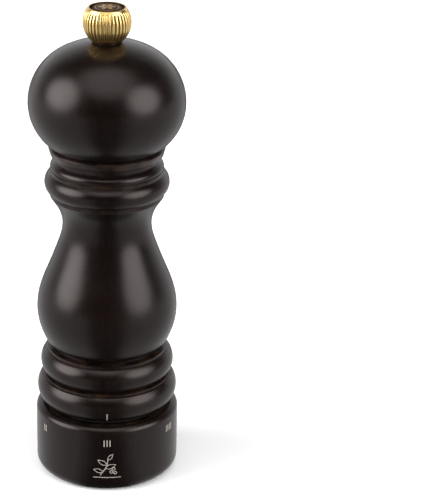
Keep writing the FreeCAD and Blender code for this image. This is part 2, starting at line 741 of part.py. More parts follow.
os.makedirs("parts", exist_ok=True)
for name, make in PARTS.items():
    shape = make()
    print(f"{name:20s} valid {shape.isValid()} solids {len(shape.Solids)} volume {shape.Volume:.2f}")
    shape.exportStep(f"parts/{name}.step")
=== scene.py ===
import bpy
import math
import numpy as np
from mathutils import Matrix, Vector


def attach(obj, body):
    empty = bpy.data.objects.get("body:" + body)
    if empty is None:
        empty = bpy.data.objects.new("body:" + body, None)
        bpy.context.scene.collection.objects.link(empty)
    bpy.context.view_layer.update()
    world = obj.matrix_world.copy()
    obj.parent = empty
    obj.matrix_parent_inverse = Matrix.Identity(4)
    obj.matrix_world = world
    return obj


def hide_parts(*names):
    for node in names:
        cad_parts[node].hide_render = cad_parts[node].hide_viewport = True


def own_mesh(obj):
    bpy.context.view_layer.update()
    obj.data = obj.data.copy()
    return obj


# A pepper mill, put together from the foot up. Sizes are in millimetres and become metres where a
# mesh is made; the axis is X = Y = 0, the table is Z = 0 and the index mark faces -Y.
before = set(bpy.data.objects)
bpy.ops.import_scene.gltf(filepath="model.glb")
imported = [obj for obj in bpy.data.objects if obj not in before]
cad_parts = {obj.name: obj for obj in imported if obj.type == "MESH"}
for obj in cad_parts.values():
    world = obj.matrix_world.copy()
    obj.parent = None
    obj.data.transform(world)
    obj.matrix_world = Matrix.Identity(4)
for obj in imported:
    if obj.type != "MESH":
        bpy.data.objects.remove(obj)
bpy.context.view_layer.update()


# ---- Wooden body -------------------------------------------------------------------------------
# One piece of beech turned on a lathe, stained nearly black and sprayed with satin lacquer.
# Two fat beads stand over the click ring, then a pear with a long neck, a bead and a rounded lip.
MM = 0.001
FULL_TURN = 2 * math.pi
BODY_BOTTOM = 28.2
BODY_TOP = 124.8
LOWER_BEAD = (26.0, 33.2, 7.2)       # widest radius, height there, arc radius
UPPER_BEAD = (24.7, 43.7, 6.4)
NECK_BEAD = (22.8, 114.35, 4.65)
PEAR = [
    (22.95, 53.4), (24.5, 57.1), (25.5, 60.9), (25.9, 65.0), (25.45, 69.9), (24.0, 75.1), (21.2, 82.1),
    (18.45, 89.2), (16.9, 94.0), (16.35, 98.2), (16.95, 102.2), (18.55, 105.8), (20.65, 108.9),
]
MOUTH_RADIUS = 12.5       # upper bore and filling mouth
CHAMBER_RADIUS = 15.6
CHAMBER_TOP = 78.0
DRILL_POINT = 4.0
GUIDE_BORE = 17.5         # counterbore for the spindle's guide
GUIDE_SHOULDER = 42.8
WOOD_COLUMNS = 224        # points round each turned piece of wood


def bead_radius(bead, z):
    """Radius of a bead at height z: a circle's arc about a centre inside the wood."""
    widest, middle, arc = bead
    return widest - arc + np.sqrt(arc ** 2 - (z - middle) ** 2)


def bead(shape, low, high, count=26):
    """Points of a bead from height low to height high, evenly spaced by angle along its arc."""
    widest, middle, arc = shape
    angle = np.linspace(math.asin((low - middle) / arc), math.asin((high - middle) / arc), count)
    return np.stack([widest - arc + arc * np.cos(angle), middle + arc * np.sin(angle)], 1)


def through(points, per_span=10):
    """A natural cubic curve through points, with the distance between them as its parameter. Its second
    derivatives come from one linear system, and each span is the usual cubic between two points."""
    points = np.asarray(points, float)
    gap = np.linalg.norm(np.diff(points, axis=0), axis=1)
    count = len(points)
    system = np.eye(count)
    right = np.zeros_like(points)
    inner = np.arange(1, count - 1)
    system[inner, inner - 1] = gap[:-1]
    system[inner, inner] = 2 * (gap[:-1] + gap[1:])
    system[inner, inner + 1] = gap[1:]
    slope = np.diff(points, axis=0) / gap[:, None]
    right[1:-1] = 6 * np.diff(slope, axis=0)
    bend = np.linalg.solve(system, right)
    part = np.linspace(0, 1, per_span, endpoint=False)[None, :, None]
    h = gap[:, None, None]
    a, b = points[:-1, None], points[1:, None]
    m, n = bend[:-1, None], bend[1:, None]
    curve = a * (1 - part) + b * part
    curve = curve - h ** 2 / 6 * ((1 - part) * (1 - (1 - part) ** 2) * m + part * (1 - part ** 2) * n)
    return np.vstack([curve.reshape(-1, 2), points[-1:]])


def skin(name, grid, body, closed=True, sharp=32):
    """A mesh from a grid of points whose rows run along the profile and whose columns go round the
    axis. A row whose points coincide becomes one point. A closed profile joins its last row to its
    first, so the wall has an inside and an outside."""
    rows, columns = grid.shape[:2]
    points = grid.reshape(-1, 3)
    index = np.arange(rows * columns).reshape(rows, columns)
    one_point = np.ptp(grid, axis=1).max(1) < 1e-6
    index[one_point] = index[one_point, :1]
    if closed:
        index = np.vstack([index, index[:1]])
    right = np.roll(index, -1, axis=1)
    quads = np.stack([index[:-1], right[:-1], right[1:], index[1:]], -1).reshape(-1, 4)
    repeated = quads == np.roll(quads, 1, axis=1)
    spare = repeated.sum(1)
    used = np.unique(quads[spare < 2])
    place = np.zeros(len(points), int)
    place[used] = np.arange(len(used))
    fours = place[quads[spare == 0]]
    threes = place[quads[spare == 1][~repeated[spare == 1]].reshape(-1, 3)]
    mesh = bpy.data.meshes.new(name)
    mesh.from_pydata((points[used] * MM).tolist(), [], fours.tolist() + threes.tolist())
    mesh.shade_smooth()
    mesh.set_sharp_from_angle(angle=math.radians(sharp))
    piece = bpy.data.objects.new(name, mesh)
    bpy.context.collection.objects.link(piece)
    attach(piece, body)
    return piece, used


def turn(profile, columns=WOOD_COLUMNS):
    """A grid from a profile of (r, z) points turned about Z: x = r cos a, y = r sin a."""
    profile = np.asarray(profile, float)
    angle = np.linspace(0, FULL_TURN, columns, endpoint=False)
    r, z = profile[:, :1], profile[:, 1:]
    return np.stack([r * np.cos(angle), r * np.sin(angle), z + 0 * angle], -1)


def point_values(piece, name, values):
    """Stores one number for each point of a piece, as an attribute that its material reads."""
    attribute = piece.data.attributes.new(name, "FLOAT", "POINT")
    attribute.data.foreach_set("value", values.astype(np.float32))


def mark_edges(piece, used, profile):
    """Stores, for each point, how sharply the profile turns outwards there, as the attribute edge: the
    angle between the step before and the step after, and half of a neighbour's where that is more."""
    ahead = np.roll(profile, -1, 0) - profile
    behind = profile - np.roll(profile, 1, 0)
    cross = behind[:, 0] * ahead[:, 1] - behind[:, 1] * ahead[:, 0]
    lengths = np.linalg.norm(ahead, axis=1) * np.linalg.norm(behind, axis=1) + 1e-9
    sharpness = np.clip(np.arcsin(np.clip(cross / lengths, -1, 1)) * 1.2, 0, 1)
    spread = np.maximum(sharpness, 0.5 * np.maximum(np.roll(sharpness, 1), np.roll(sharpness, -1)))
    point_values(piece, "edge", np.repeat(spread, WOOD_COLUMNS)[used])


body_outline = np.vstack([
    bead(LOWER_BEAD, BODY_BOTTOM, 37.7),
    [(23.75, 37.9), (23.75, 38.7), (22.65, 38.95)],
    bead(UPPER_BEAD, 39.3, 48.3),
    [(22.25, 48.5), (22.25, 49.6), (20.35, 50.1), (20.45, 50.9)],
    [(21.25, 51.3), (21.9, 51.85), (22.5, 52.6)],
    through(PEAR),
    [(20.85, 109.2), (20.85, 110.6)],
    bead(NECK_BEAD, 110.8, 118.0),
    [(20.8, 118.2), (20.8, 119.4), (20.5, 119.6)],
    through([(20.7, 120.1), (20.6, 120.85), (20.3, 121.5), (19.2, 122.4)], 6),
    [(18.7, 122.9), (18.7, BODY_TOP), (MOUTH_RADIUS + 0.5, BODY_TOP), (MOUTH_RADIUS, BODY_TOP - 0.5)],
    [(MOUTH_RADIUS, CHAMBER_TOP + DRILL_POINT), (CHAMBER_RADIUS, CHAMBER_TOP)],
    [(CHAMBER_RADIUS, GUIDE_SHOULDER), (GUIDE_BORE, GUIDE_SHOULDER)],
    [(GUIDE_BORE, BODY_BOTTOM), (20.0, BODY_BOTTOM), (22.5, BODY_BOTTOM)],
])
body_wood, body_used = skin("turned_body", turn(body_outline), "body")
mark_edges(body_wood, body_used, body_outline)
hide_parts("body_shell")


class Nodes:
    """Short words for building a node tree: add a node, set its sockets and link them."""

    def __init__(self, tree):
        self.tree = tree

    def add(self, kind, links=None, **settings):
        """A node of that kind. Settings are its properties, and links gives a socket a value or a link."""
        node = self.tree.nodes.new(kind)
        for key, value in settings.items():
            setattr(node, key, value)
        for key, value in (links or {}).items():
            socket = node.inputs[key]
            if isinstance(value, bpy.types.NodeSocket):
                self.tree.links.new(value, socket)
            else:
                socket.default_value = value
        return node

    def ramp(self, value, stops):
        """A colour ramp on a value. Stops are (position, colour)."""
        node = self.add("ShaderNodeValToRGB", {"Fac": value})
        while len(node.color_ramp.elements) < len(stops):
            node.color_ramp.elements.new(0.5)
        for element, (position, colour) in zip(node.color_ramp.elements, stops):
            element.position = position
            element.color = (*colour, 1) if len(colour) == 3 else (colour[0],) * 3 + (1,)
        return node.outputs["Color"]

    def maths(self, operation, a, b=0.0):
        """One step of arithmetic."""
        return self.add("ShaderNodeMath", {0: a, 1: b}, operation=operation).outputs[0]

    def blend(self, share, first, second):
        """The first colour where share is 0, the second where it is 1. A colour is a link or three numbers."""
        first, second = (c if isinstance(c, bpy.types.NodeSocket) else (*c, 1) for c in (first, second))
        return self.add("ShaderNodeMix", {0: share, 6: first, 7: second}, data_type="RGBA").outputs[2]

    def relief(self, shader, height, strength, depth):
        """Bump on a shader from a height, with its depth in metres."""
        bump = self.add("ShaderNodeBump", {"Strength": strength, "Distance": depth, "Height": height})
        self.tree.links.new(bump.outputs[0], shader.inputs["Normal"])


def group(name, inputs, outputs):
    """An empty shader node group. Inputs are (name, kind of socket, value), outputs are names of values."""
    tree = bpy.data.node_groups.new(name, "ShaderNodeTree")
    for label, kind, value in inputs:
        socket = tree.interface.new_socket(label, in_out="INPUT", socket_type=kind)
        socket.default_value = value
    for label in outputs:
        tree.interface.new_socket(label, in_out="OUTPUT", socket_type="NodeSocketFloat")
    nodes = Nodes(tree)
    return tree, nodes, nodes.add("NodeGroupInput"), nodes.add("NodeGroupOutput")


def material(name):
    """A new material's node words, its Principled shader and its Object coordinates."""
    made = bpy.data.materials.new(name)
    made.use_nodes = True
    made.node_tree.nodes.clear()
    nodes = Nodes(made.node_tree)
    shader = nodes.add("ShaderNodeBsdfPrincipled")
    output = nodes.add("ShaderNodeOutputMaterial")
    made.node_tree.links.new(shader.outputs[0], output.inputs["Surface"])
    place = nodes.add("ShaderNodeTexCoord").outputs["Object"]
    return made, nodes, shader, place


def beech_grain():
    """Grain of turned beech: long streaks up the axis, short dark flecks, a drift of tone over some
    centimetres, and the lathe's faint rings. Puts out tone, flecks and height."""
    inputs = [("Place", "NodeSocketVector", (0, 0, 0))]
    tree, nodes, given, out = group("beech grain", inputs, ["Tone", "Flecks", "Height"])

    def noise(stretch, detail, roughness):
        """Noise on the piece's own place, stretched to so many grains a metre along each axis."""
        mapped = nodes.add("ShaderNodeMapping", {"Vector": given.outputs["Place"], "Scale": stretch})
        texture = nodes.add("ShaderNodeTexNoise", {
            "Vector": mapped.outputs[0], "Scale": 1.0, "Detail": detail, "Roughness": roughness,
        })
        return texture.outputs["Fac"]

    streaks = noise((900, 900, 38), 4, 0.55)
    drift = noise((55, 55, 22), 3, 0.5)
    tone = nodes.maths("ADD", nodes.maths("MULTIPLY", streaks, 0.6), nodes.maths("MULTIPLY", drift, 0.4))
    tree.links.new(tone, out.inputs["Tone"])
    specks = nodes.ramp(noise((2600, 2600, 240), 2, 0.5), [(0.6, (0,)), (0.7, (1,))])
    tree.links.new(specks, out.inputs["Flecks"])
    rings = noise((30, 30, 5200), 2, 0.5)
    height = nodes.maths("ADD", nodes.maths("MULTIPLY", streaks, 0.7), nodes.maths("MULTIPLY", rings, 0.3))
    height = nodes.maths("SUBTRACT", height, nodes.maths("MULTIPLY", specks, 0.25))
    tree.links.new(height, out.inputs["Height"])
    return tree


def handling_marks():
    """Cloudy noise for what handling, flow or polishing leaves on a surface. Scale is clouds a metre."""
    inputs = [
        ("Place", "NodeSocketVector", (0, 0, 0)), ("Scale", "NodeSocketFloat", 100.0),
        ("Detail", "NodeSocketFloat", 3.0),
    ]
    tree, nodes, given, out = group("handling marks", inputs, ["Marks"])
    links = {label: given.outputs[label] for label in ("Scale", "Detail")}
    noise = nodes.add("ShaderNodeTexNoise", {"Vector": given.outputs["Place"], **links})
    tree.links.new(noise.outputs["Fac"], out.inputs["Marks"])
    return tree


def marks(nodes, place, scale, detail):
    """Places the handling marks group in a material with its own scale and detail."""
    node = nodes.add("ShaderNodeGroup", node_tree=HANDLING)
    node.inputs["Scale"].default_value = scale
    node.inputs["Detail"].default_value = detail
    nodes.tree.links.new(place, node.inputs["Place"])
    return node.outputs["Marks"]


def stained_beech(name, dark, light, gloss):
    """Beech stained dark under satin lacquer, a little browner where an edge has rubbed thin."""
    made, nodes, shader, place = material(name)
    shader.inputs["Specular IOR Level"].default_value = 0.28
    shader.inputs["Specular Tint"].default_value = (1.0, 0.88, 0.87, 1)
    grain = nodes.add("ShaderNodeGroup", node_tree=GRAIN)
    nodes.tree.links.new(place, grain.inputs["Place"])
    colour = nodes.ramp(grain.outputs["Tone"], [(0.36, dark), (0.64, light)])
    flecked = nodes.blend(grain.outputs["Flecks"], colour, tuple(c * 0.45 for c in dark))
    worn = nodes.add("ShaderNodeAttribute", attribute_name="edge").outputs["Fac"]
    patches = nodes.ramp(marks(nodes, place, 210.0, 3.0), [(0.42, (0,)), (0.7, (0.55,))])
    rubbed = nodes.maths("MULTIPLY", worn, patches)
    bare_edge = (0.05, 0.027, 0.016)
    nodes.tree.links.new(nodes.blend(rubbed, flecked, bare_edge), shader.inputs["Base Color"])
    smudge = marks(nodes, place, 70.0, 4.0)
    rough = nodes.ramp(smudge, [(0.3, (gloss - 0.03,)), (0.7, (gloss + 0.04,))])
    nodes.tree.links.new(rough, shader.inputs["Roughness"])
    nodes.relief(shader, grain.outputs["Height"], 0.22, 0.00004)
    return made


GRAIN = beech_grain()
HANDLING = handling_marks()
body_stain = stained_beech("stained_beech", (0.0026, 0.0012, 0.0011), (0.0062, 0.0031, 0.0026), 0.27)
body_wood.data.materials.append(body_stain)


# ---- Moulded mechanism -------------------------------------------------------------------------
# Black glass-filled nylon: the sleeve and flange screwed under the body, the spindle's guide, the
# bridge, and the ring glued into the wooden click ring. Matt, with a fine spark-eroded texture.
def moulded(name, colour, roughness, lift):
    """A moulded plastic: a fine eroded grain in the bump, and slight flow marks in colour and gloss."""
    made, nodes, shader, place = material(name)
    flow = marks(nodes, place, 120.0, 4.0)
    pale = tuple(min(1, c * lift) for c in colour)
    nodes.tree.links.new(nodes.ramp(flow, [(0.3, colour), (0.7, pale)]), shader.inputs["Base Color"])
    rough = nodes.ramp(flow, [(0.3, (roughness - 0.06,)), (0.7, (roughness + 0.06,))])
    nodes.tree.links.new(rough, shader.inputs["Roughness"])
    nodes.relief(shader, marks(nodes, place, 5200.0, 2.0), 0.3, 0.00003)
    return made


def finish_nodes(names, finish):
    """Gives CAD nodes that keep their own mesh a material."""
    for name in names:
        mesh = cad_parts[name].data
        mesh.materials.clear()
        mesh.materials.append(finish)


black_nylon = moulded("black_nylon", (0.012, 0.012, 0.013), 0.52, 1.6)
finish_nodes(["mechanism_housing", "shaft_guide", "thrust_bridge", "adjuster_ring"], black_nylon)
finish_nodes(["knob_washer"], black_nylon)
natural_nylon = moulded("natural_nylon", (0.62, 0.60, 0.53), 0.42, 1.12)
finish_nodes(["thrust_washer", "knob_lock_insert"], natural_nylon)


# ---- Steel parts -------------------------------------------------------------------------------
# The toothed ring and cone are case hardened and oiled dark. The spindle, clips, washers, springs and
# plates are bright drawn or stamped steel, and the screws are zinc plated.
def steel(name, dark, light, roughness, stretch):
    """Steel with drawn or turned lines: a noise stretched along one direction makes the lines, and a
    second one spots the surface with oil and handling marks."""
    made, nodes, shader, place = material(name)
    shader.inputs["Metallic"].default_value = 1.0
    lines_at = nodes.add("ShaderNodeMapping", {"Vector": place, "Scale": stretch}).outputs[0]
    lines = marks(nodes, lines_at, 1.0, 3.0)
    spots = marks(nodes, place, 260.0, 5.0)
    both = nodes.maths("ADD", nodes.maths("MULTIPLY", lines, 0.5), nodes.maths("MULTIPLY", spots, 0.5))
    nodes.tree.links.new(nodes.ramp(both, [(0.35, dark), (0.65, light)]), shader.inputs["Base Color"])
    rough = nodes.ramp(spots, [(0.3, (roughness - 0.07,)), (0.7, (roughness + 0.09,))])
    nodes.tree.links.new(rough, shader.inputs["Roughness"])
    nodes.relief(shader, lines, 0.18, 0.00002)
    return made


drawn_steel = steel("drawn_steel", (0.42, 0.43, 0.45), (0.66, 0.67, 0.68), 0.28, (2600, 2600, 90))
stamped_steel = steel("stamped_steel", (0.46, 0.47, 0.49), (0.68, 0.69, 0.70), 0.30, (160, 2400, 2400))
hard_steel = steel("hardened_steel", (0.10, 0.10, 0.11), (0.24, 0.24, 0.25), 0.38, (300, 300, 3200))
zinc = steel("zinc_plate", (0.50, 0.52, 0.57), (0.72, 0.73, 0.74), 0.34, (900, 900, 900))
finish_nodes(["drive_shaft"], drawn_steel)
finish_nodes(["retaining_plate", "drive_plate", "shaft_washer", "spring_seat"], stamped_steel)
finish_nodes(["stator_clip", "click_spring", "shaft_clip"], stamped_steel)
finish_nodes(["grinding_ring", "grinding_cone"], hard_steel)
finish_nodes(["flange_screws", "plate_screws", "drive_plate_screws"], zinc)

# The coil spring presses the cone down on the bridge, and shortens as the click ring lifts the cone.
SPRING_TURNS = 4.5
SPRING_RADIUS = 4.7
SPRING_WIRE = 0.4
SPRING_LOW = 25.05
SPRING_HIGH = 33.85


def coil(turns, radius, wire, low, high, rows=260, columns=14):
    """A round wire along a helix: its middle is at (R cos a, R sin a, z rising evenly with a), and a
    circle of points lies about it in the plane of the axis. Each end closes on its middle."""
    angle = np.linspace(0, turns * FULL_TURN, rows)[:, None]
    outward = np.stack([np.cos(angle), np.sin(angle), 0 * angle], -1)
    middle = radius * outward + np.stack([0 * angle, 0 * angle, low + (high - low) * angle / angle[-1]], -1)
    about = np.linspace(0, FULL_TURN, columns, endpoint=False)[None, :, None]
    surface = middle + wire * (np.cos(about) * outward - np.sin(about) * np.array([0, 0, 1.0]))
    caps = np.repeat(middle[[0, -1]], columns, axis=1)
    return np.concatenate([caps[:1], surface, caps[1:]])


spring_grid = coil(SPRING_TURNS, SPRING_RADIUS, SPRING_WIRE, SPRING_LOW, SPRING_HIGH)
spring, _ = skin("coil_spring", spring_grid, "spindle", closed=False)
spring.data.materials.append(drawn_steel)
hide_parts("rotor_spring")
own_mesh(spring)


# ---- Click ring --------------------------------------------------------------------------------
# Beech ring at the foot, 53 mm across and 26 mm high, rounded at the table and at its shoulder.
# The grind is set by turning it, so its marks pass under the index mark on the body.
FOOT_RADIUS = 26.55
FOOT_HEIGHT = 26.4
FOOT_BORE = 20.6
FOOT_EDGE = 4.6
FOOT_SHOULDER = 2.4


def arc(centre, radius, start, end, count=20):
    """Points of a circle's arc in the (r, z) plane, between two angles in degrees above outward."""
    angle = np.radians(np.linspace(start, end, count))
    return np.stack([centre[0] + radius * np.cos(angle), centre[1] + radius * np.sin(angle)], 1)


foot_outline = np.vstack([
    [(FOOT_BORE, 0.3), (FOOT_BORE + 0.3, 0)],
    arc((FOOT_RADIUS - FOOT_EDGE, FOOT_EDGE), FOOT_EDGE, -90, 0, 22),
    [(FOOT_RADIUS, z) for z in np.linspace(7, 20, 6)],
    arc((FOOT_RADIUS - FOOT_SHOULDER, FOOT_HEIGHT - FOOT_SHOULDER), FOOT_SHOULDER, 0, 90, 22),
    [(FOOT_BORE, FOOT_HEIGHT), (FOOT_BORE, 13.0)],
])
foot, foot_used = skin("click_ring_wood", turn(foot_outline), "click_ring")
mark_edges(foot, foot_used, foot_outline)
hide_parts("base_ring")
foot.data.materials.append(body_stain)


# ---- Printed marks -----------------------------------------------------------------------------
# Pale pad print: an index line on the body's lowest bead, one to six tally strokes for the grind
# every 60 degrees round the click ring, and a small pepper sprig over a ground line at the front.
PRINT_LIFT = 0.03         # how far the ink stands out of the lacquer, and how deep it is keyed in
STEP = math.radians(60)
FRONT = -math.pi / 2
TALLY_Z = 20.5
TALLY_HEIGHT = 2.6
TALLY_WIDTH = 0.42
TALLY_PITCH = 1.1


def stroke(path, width, radius_at, middle=FRONT, closed=False):
    """One printed line as a thin closed slab. The path is (distance round, height) on the unrolled
    surface. Its sides are offset by half the width along the path's normal, and the slab is laid on
    the surface by turning distance into an angle, once just above the lacquer and once below it."""
    path = np.asarray(path, float)
    if closed:
        tangent = np.roll(path, -1, 0) - np.roll(path, 1, 0)
    else:
        tangent = np.gradient(path, axis=0)
    tangent /= np.linalg.norm(tangent, axis=1, keepdims=True)
    normal = np.stack([-tangent[:, 1], tangent[:, 0]], 1)
    left, right = path + normal * width / 2, path - normal * width / 2
    ring = []
    for side, lift in ((left, PRINT_LIFT), (right, PRINT_LIFT), (right, -PRINT_LIFT), (left, -PRINT_LIFT)):
        radius = radius_at(side[:, 1]) + lift
        angle = middle + side[:, 0] / radius_at(side[:, 1])
        ring.append(np.stack([radius * np.cos(angle), radius * np.sin(angle), side[:, 1]], 1))
    points = np.stack(ring, 1).reshape(-1, 3)
    count = len(path)
    here = 4 * np.arange(count if closed else count - 1)[:, None]
    there = (here + 4) % (4 * count)
    side, next_side = np.arange(4), np.roll(np.arange(4), -1)
    faces = np.stack([here + side, here + next_side, there + next_side, there + side], -1).reshape(-1, 4)
    if not closed:
        faces = np.vstack([faces, [3, 2, 1, 0], 4 * count - 4 + side])
    return points, faces


def printed(name, strokes, body, ink):
    """One mesh of many printed strokes."""
    points = np.vstack([stroke_points for stroke_points, _ in strokes])
    starts = np.cumsum([0] + [len(stroke_points) for stroke_points, _ in strokes])
    faces = np.vstack([stroke_faces + start for (_, stroke_faces), start in zip(strokes, starts)])
    mesh = bpy.data.meshes.new(name)
    mesh.from_pydata((points * MM).tolist(), [], faces.tolist())
    piece = bpy.data.objects.new(name, mesh)
    bpy.context.collection.objects.link(piece)
    mesh.materials.append(ink)
    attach(piece, body)
    return piece


def foot_radius(z):
    """The click ring's outside is a plain cylinder where it is printed."""
    return FOOT_RADIUS + 0 * z


def pale_ink():
    """Grey-cream ink, slightly uneven where it sits in the grain."""
    made, nodes, shader, place = material("pale_print")
    uneven = marks(nodes, place, 2600.0, 3.0)
    colour = nodes.ramp(uneven, [(0.3, (0.27, 0.24, 0.21)), (0.6, (0.46, 0.42, 0.37))])
    nodes.tree.links.new(colour, shader.inputs["Base Color"])
    shader.inputs["Roughness"].default_value = 0.5
    return made


def upright(x, low, high, count=6):
    """A short vertical path."""
    return np.stack([np.full(count, float(x)), np.linspace(low, high, count)], 1)


def leaf(root, angle, length, width, count=18):
    """A closed leaf outline: two sine bulges from root to tip, turned by an angle in degrees."""
    along = np.linspace(0, 1, count)
    half = width / 2 * np.sin(math.pi * along ** 0.85)
    upper = np.stack([along * length, half], 1)
    lower = np.stack([along * length, -half], 1)[-2:0:-1]
    outline = np.vstack([upper, lower])
    turn_by = math.radians(angle)
    cosine, sine = math.cos(turn_by), math.sin(turn_by)
    spin = np.array([[cosine, sine], [-sine, cosine]])
    return outline @ spin + root


def circle(centre, radius, count=20):
    """A closed round path."""
    angle = np.linspace(0, FULL_TURN, count, endpoint=False)
    return np.stack([np.cos(angle), np.sin(angle)], 1) * radius + centre


ink = pale_ink()
index_line = stroke(upright(0, 29.2, 32.2), 0.5, lambda z: bead_radius(LOWER_BEAD, z))
printed("index_mark", [index_line], "body", ink)
tallies = []
for count in range(1, 7):
    for k in range(count):
        x = (k - (count - 1) / 2) * TALLY_PITCH
        path = upright(x, TALLY_Z - TALLY_HEIGHT / 2, TALLY_Z + TALLY_HEIGHT / 2)
        tallies.append(stroke(path, TALLY_WIDTH, foot_radius, FRONT + (count - 3) * STEP))
printed("grind_marks", tallies, "click_ring", ink)

SPRIG_Z = 7.4
SPRIG_LINE = 0.34
stem = through([(-2.6, SPRIG_Z), (-1.0, SPRIG_Z + 2.1), (0.0, SPRIG_Z + 4.4), (0.3, SPRIG_Z + 6.9)], 8)
sprig = [stroke(stem, SPRIG_LINE, foot_radius)]
for root, angle, length, width in (
    ((-1.6, SPRIG_Z + 1.3), 165, 3.6, 1.5), ((-0.7, SPRIG_Z + 2.8), 20, 4.2, 1.7),
    ((-0.1, SPRIG_Z + 4.2), 150, 3.9, 1.6), ((0.3, SPRIG_Z + 6.3), 52, 2.9, 1.3),
):
    sprig.append(stroke(leaf(root, angle, length, width), 0.26, foot_radius, closed=True))
for x, z in ((1.6, 1.7), (3.0, 1.3), (2.4, 2.9)):
    sprig.append(stroke(circle((x, SPRIG_Z + z - 0.4), 0.55), 0.3, foot_radius, closed=True))
ground = np.stack([np.linspace(-5.2, 5.2, 24), np.full(24, SPRIG_Z - 1.0)], 1)
sprig.append(stroke(ground, 0.3, foot_radius))
printed("pepper_sprig", sprig, "click_ring", ink)


# ---- Head --------------------------------------------------------------------------------------
# Beech ball turned by hand to grind, on a short flared collar that hides the joint, with a plug below
# that centres it in the body's mouth. Same stain and lacquer as the body.
BALL_RADIUS = 28.5
BALL_MIDDLE = 144.5
BALL_LOW_ARC = 19.7
BALL_HIGH_ARC = 21.3
BALL_TOP = 167.5
KNOB_SEAT = 167.1
HEAD_BOTTOM = 125.0

cap_offset = BALL_RADIUS - BALL_HIGH_ARC
cap_spare = BALL_TOP - BALL_MIDDLE - BALL_HIGH_ARC
cap_radius = BALL_HIGH_ARC + (cap_offset ** 2 + cap_spare ** 2) / (2 * cap_spare)
cap_z = BALL_TOP - cap_radius
cap_join = math.degrees(math.atan2(BALL_MIDDLE - cap_z, cap_offset))
cap_seat = math.degrees(math.asin((KNOB_SEAT - cap_z) / cap_radius))
head_outline = np.vstack([
    [(3.8, 117.0), (11.6, 117.0), (12.2, 117.6), (12.2, HEAD_BOTTOM)],
    [(20.3, HEAD_BOTTOM), (20.6, 125.3), (21.25, 127.6), (20.85, 128.1), (20.3, 128.3)],
    arc((BALL_RADIUS - BALL_LOW_ARC, BALL_MIDDLE), BALL_LOW_ARC, -53.5, 0, 44),
    arc((cap_offset, BALL_MIDDLE), BALL_HIGH_ARC, 0, cap_join, 44)[1:],
    arc((0, cap_z), cap_radius, cap_join, cap_seat, 20)[1:],
    [(3.8, KNOB_SEAT), (3.8, 140.0)],
])
head, head_used = skin("turned_head", turn(head_outline), "head")
mark_edges(head, head_used, head_outline)
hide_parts("head_shell")
head.data.materials.append(body_stain)


# ---- Knob --------------------------------------------------------------------------------------
# Brass ball, 17 mm across, with rounded ribs down its sides and a smooth rim, tapped for the spindle.
# Its grooves are coloured darker by their depth, and a domed disc with a plain rosette is set in its top.
# The recess round the disc is painted shade, fully dark.
KNOB_RADIUS = 8.7
KNOB_MIDDLE = 174.3
KNOB_FOOT = 167.6
KNOB_RIM = 179.8
KNOB_RIBS = 36
RIB_DEPTH = 0.42
RECESS_RADIUS = 6.3
RECESS_FLOOR = 178.6
DISC_RADIUS = 5.2
DISC_TOP = 180.0
KNOB_BORE = 2.55
INSERT_RADIUS = 3.4       # recess for the nylon ring in the thread
INSERT_BOTTOM = 172.0
INSERT_TOP = 173.6

foot_angle = -math.degrees(math.asin((KNOB_MIDDLE - KNOB_FOOT) / KNOB_RADIUS))
rim_angle = math.degrees(math.asin((KNOB_RIM - 0.35 - KNOB_MIDDLE) / KNOB_RADIUS))
knob_side = arc((0, KNOB_MIDDLE), KNOB_RADIUS, foot_angle, rim_angle, 74)
rim_radius = knob_side[-1, 0]
knob_outline = np.vstack([
    [(KNOB_BORE, KNOB_FOOT)],
    knob_side,
    [(rim_radius - 0.08, KNOB_RIM - 0.1), (rim_radius - 0.28, KNOB_RIM), (RECESS_RADIUS, KNOB_RIM)],
    [(RECESS_RADIUS, RECESS_FLOOR), (3.0, RECESS_FLOOR), (0, RECESS_FLOOR)],
    [(0, RECESS_FLOOR - 1.2), (KNOB_BORE, RECESS_FLOOR - 1.2), (KNOB_BORE, INSERT_TOP)],
    [(INSERT_RADIUS, INSERT_TOP), (INSERT_RADIUS, INSERT_BOTTOM), (KNOB_BORE, INSERT_BOTTOM)],
])
knob_columns = KNOB_RIBS * 14
knob_grid = turn(knob_outline, knob_columns)

# A rib's groove is a cusp of the angle, (1 - |sin(36 a / 2)|) ** 1.6, cut towards the ball's middle, and
# it fades out smoothly towards the foot and the rim.
side_rows = slice(1, 1 + len(knob_side))
height = knob_side[:, 1]
fade = np.clip((height - 168.2) / 1.6, 0, 1) * np.clip((179.2 - height) / 1.3, 0, 1)
fade = fade * fade * (3 - 2 * fade)
around = np.linspace(0, FULL_TURN, knob_columns, endpoint=False)
valley = (1 - np.abs(np.sin(KNOB_RIBS * around / 2))) ** 1.6
cut = RIB_DEPTH * fade[:, None] * valley[None, :]
rows = knob_grid[side_rows]
centre = np.array([0, 0, KNOB_MIDDLE])
rows -= (rows - centre) / KNOB_RADIUS * cut[..., None]
knob_grid[side_rows] = rows
knob, knob_used = skin("ribbed_knob", knob_grid, "knob", sharp=50)
# Dark colour for the knob: darker towards the bottom of each rib groove, by its depth, and painted shade in
# the recess.
oxide_and_painted_shade = np.zeros(knob_grid.shape[:2])
oxide_and_painted_shade[side_rows] = (cut / RIB_DEPTH) ** 0.6
# Painted shade: the recess wall and floor round the disc are painted fully dark.
oxide_and_painted_shade[side_rows.stop + 2:side_rows.stop + 6] = 1.0
point_values(knob, "oxide_and_painted_shade", oxide_and_painted_shade.reshape(-1)[knob_used])
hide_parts("knob_shell")


